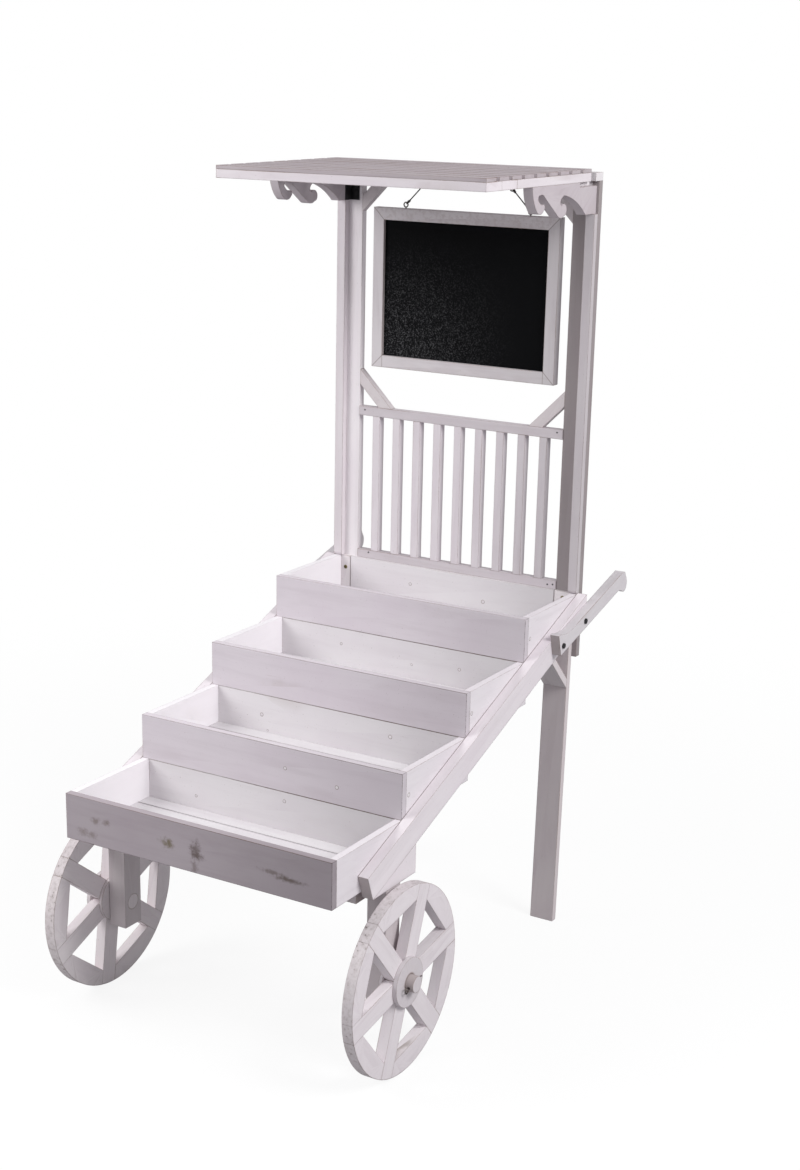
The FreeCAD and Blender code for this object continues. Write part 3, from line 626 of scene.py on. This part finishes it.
# Each split pin is one half-round wire bent double: its eye in front, both legs through the axle,
# and the ends spread behind it, one outwards and one up.
axle_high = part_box("axle_right")[1]
axle_radius, pin_radius, pin_wire, eye_reach = axle_high.z - hub_z, 0.0019, 0.00095, 0.0046
disc_face, pin_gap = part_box("wheel_right_hub_discs")[1].x, 0.0040
pin_curve = bpy.data.curves.new("split_pins", "CURVE")
pin_curve.dimensions = "3D"
pin_curve.bevel_depth = pin_wire
pin_curve.bevel_resolution = 3
pin_curve.use_fill_caps = True
pin_way = Vector((0, math.cos(math.radians(14)), math.sin(math.radians(14))))
for side in (1, -1):
    middle = Vector((side * (disc_face + pin_gap + pin_radius), hub_y, hub_z))
    outwards, aside = Vector((side, 0, 0)), Vector((0, -pin_way.z, pin_way.y))
    eye = middle - pin_way * (axle_radius + eye_reach + pin_radius)
    behind = axle_radius + pin_radius
    route = [middle + pin_way * (behind + 0.0050) + outwards * 0.0042 + aside * 0.0012,
             middle + pin_way * (behind + 0.0012) + outwards * 0.0006 + aside * 0.0010,
             middle + pin_way * axle_radius + aside * pin_wire,
             middle - pin_way * axle_radius + aside * pin_wire,
             eye + pin_way * 0.0045 + aside * 0.0026]
    route += [eye + eye_reach * (math.cos(a) * pin_way + math.sin(a) * aside)
              for a in (math.radians(degrees) for degrees in (65, 115, 155, 205, 245, 295))]
    route += [eye + pin_way * 0.0045 - aside * 0.0026,
              middle - pin_way * axle_radius - aside * pin_wire,
              middle + pin_way * axle_radius - aside * pin_wire,
              middle + pin_way * (behind + 0.0030) - aside * 0.0024]
    spline = pin_curve.splines.new("NURBS")
    spline.points.add(len(route) - 1)
    for point, co in zip(spline.points, route):
        point.co = (*co, 1)
    spline.order_u = 3
    spline.use_endpoint_u = True
split_pins = new_piece("split_pins", pin_curve, pin_steel, "cart")
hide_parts("cotter_pins")

# ---- Filled screw holes ------------------------------------------------------------------------
# The screws that hold the boards are sunk and filled; under the wash each filling shows as a small
# raised disc with a thin brown ring round it.
brown_ring, shader = material("brown_ring")
at = place()
feed(shader, Base_Color=at.noise(700, 3, 0.6).step(0.35, 0.65).mix((0.42, 0.36, 0.35), (0.20, 0.155, 0.14)),
     Roughness=0.8, Normal=bump(at.noise(900, 2), 0.2, 0.0003))
plug_wash = pine("pine_plugs", X, (0.74, 0.71, 0.73), 0.5, 0.0)


def round_mark(bm, middle, way, loops):
    """A low turned form on a flat face: (radius, height, material) from the outside in."""
    turn = Vector((0, 0, 1)).rotation_difference(Vector(way)).to_matrix()
    facets = 20
    rows = []
    angles = [2 * math.pi * i / facets for i in range(facets)]
    for radius, height, _ in loops:
        circle = [Vector((radius * math.cos(a), radius * math.sin(a), height)) for a in angles]
        rows.append([bm.verts.new(Vector(middle) + turn @ point) for point in circle])
    for (a, b), (_, _, index) in zip(zip(rows, rows[1:]), loops[1:]):
        for i in range(facets):
            j = (i + 1) % facets
            bm.faces.new((a[i], a[j], b[j], b[i])).material_index = index
    bm.faces.new(rows[-1]).material_index = loops[-1][2]


front, outward = (0, -1, 0), (1, 0, 0)
face_4, face_3, face_2, face_1 = (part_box("tray_%d_back" % number)[0].y for number in (4, 3, 2, 1))
face_t2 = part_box("tray_2_front")[0].y
# Where each filling sits, its radius and the way that its board faces.
plugs = [
    ((-0.0848, face_4, 0.5678), 0.0031, front), ((0.0627, face_4, 0.5584), 0.0036, front),
    ((-0.1081, face_3, 0.5003), 0.0026, front), ((0.0326, face_3, 0.4875), 0.0022, front),
    ((0.1243, face_3, 0.4950), 0.0030, front), ((-0.1421, face_2, 0.4190), 0.0034, front),
    ((-0.1302, face_2, 0.3934), 0.0020, front), ((0.1069, face_2, 0.4293), 0.0036, front),
    ((-0.1370, face_1, 0.3372), 0.0026, front), ((0.0324, face_1, 0.3652), 0.0030, front),
    ((0.0336, face_t2, 0.4199), 0.0032, front), ((0.1281, face_t2, 0.4086), 0.0034, front),
    ((cart_right, -0.2298, 0.4155), 0.0038, outward), ((cart_right, -0.0400, 0.4900), 0.0034, outward),
    ((cart_right, 0.1520, 0.5640), 0.0034, outward),
]
bm = bmesh.new()
for middle, radius, way in plugs:
    round_mark(bm, middle, way, ((radius, 0, 0), (radius * 0.92, 0.00012, 0), (radius * 0.74, 0.00008, 0),
                                 (radius * 0.66, 0.00018, 1), (radius * 0.35, 0.00026, 1)))
filled = from_bmesh("filled_screw_holes", bm, brown_ring, "cart")
filled.data.materials.append(plug_wash)

# ---- Screw and nail heads ----------------------------------------------------------------------
# Cross-head screws hold the top tray's corner pads, and small nails the ends of the railing.
bm = bmesh.new()
pad_left, pad_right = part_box("tray_4_corner_blocks")
dome = ((0.0036, 0, 0), (0.0034, 0.0005, 0), (0.0022, 0.0010, 0), (0.0008, 0.0012, 0))
slot_long, slot_half, slot_out = 0.0022, 0.00045, 0.00125
screws = [(pad_left.x + 0.0095, pad_left.y, 0.5795), (pad_right.x - 0.0155, pad_left.y, 0.5900)]
for middle in screws:
    round_mark(bm, middle, front, dome)
    for wide, high in ((slot_long, slot_half), (slot_half, slot_long)):
        corners = [Vector(middle) + Vector((sx * wide, -slot_out, sz * high))
                   for sx, sz in ((-1, -1), (1, -1), (1, 1), (-1, 1))]
        bm.faces.new([bm.verts.new(c) for c in corners]).material_index = 1
heads = from_bmesh("pad_screws", bm, brass, "cart")
heads.data.materials.append(black_iron)

railing_low, railing_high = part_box("railing_rails")
bm = bmesh.new()
nail_head = ((0.0015, 0, 0), (0.0013, 0.0003, 0), (0.0006, 0.0004, 0))
nails = [(0.1835, railing_low.z + 0.0068), (0.1935, railing_low.z + 0.0080),
         (-0.1760, railing_low.z + 0.0110), (-0.1880, railing_high.z - 0.0060),
         (0.1890, railing_high.z - 0.0050)]
for x, z in nails:
    round_mark(bm, (x, railing_low.y, z), front, nail_head)
from_bmesh("railing_nails", bm, black_iron, "cart")

# ---- Floor, backdrop and light -----------------------------------------------------------------
# A plain white floor that meets a white surround, and two large soft lamps: one to the left of the
# camera, whose light falls off across the tray fronts, and one to the right for the side faces.
floor_white, shader = material("floor_white")
at = place()
seen = G.node("ShaderNodeLightPath", out="Is Camera Ray")
feed(shader, Base_Color=seen.mix((0.42, 0.42, 0.43), (1, 1, 1)), Roughness=1.0)
shader.inputs["Specular IOR Level"].default_value = 0.0
shine = G.node("ShaderNodeEmission", inputs={"Color": (1, 1, 1, 1), "Strength": 1.0})
away = G.node("ShaderNodeVectorMath", out="Value", inputs={0: at}, operation="LENGTH")
veil = G.tree.nodes.new("ShaderNodeMixShader")
G.tree.links.new((seen * (0.88 + away.step(0.7, 2.2) * 0.12)).s, veil.inputs[0])
G.tree.links.new(shader.outputs[0], veil.inputs[1])
G.tree.links.new(shine.s, veil.inputs[2])
G.tree.links.new(veil.outputs[0], G.tree.nodes["Material Output"].inputs["Surface"])
bm = bmesh.new()
bmesh.ops.create_grid(bm, x_segments=1, y_segments=1, size=14)
floor = from_bmesh("floor", bm, floor_white, "cart")

world = bpy.data.worlds.new("studio")
bpy.context.scene.world = world
world.use_nodes = True
G.tree = world.node_tree
background = G.tree.nodes["Background"]
camera_ray = G.node("ShaderNodeLightPath", out="Is Camera Ray")
glossy_ray = G.node("ShaderNodeLightPath", out="Is Glossy Ray")
through = G.node("ShaderNodeLightPath", out="Is Transmission Ray")
plain = (camera_ray + glossy_ray + through).math("MINIMUM", 1)
G.tree.links.new(plain.mix((0.48, 0.48, 0.49), (1, 1, 1)).s, background.inputs["Color"])
background.inputs["Strength"].default_value = 1.0


def lamp(name, where, towards, size, power):
    """A round soft lamp, its size in metres across and its power in watts."""
    data = bpy.data.lights.new(name, "AREA")
    data.shape = "DISK"
    data.size = size
    data.energy = power
    o = bpy.data.objects.new(name, data)
    bpy.context.scene.collection.objects.link(o)
    o.location = where
    o.rotation_euler = (Vector(towards) - Vector(where)).to_track_quat("-Z", "Y").to_euler()


lamp("lamp_left", (-1.35, -1.35, 1.60), (0, 0, 0.5), 1.4, 27)
lamp("lamp_right", (2.9, -0.45, 2.7), (0, 0, 0.6), 1.6, 84)

bpy.context.scene.view_settings.view_transform = "Standard"
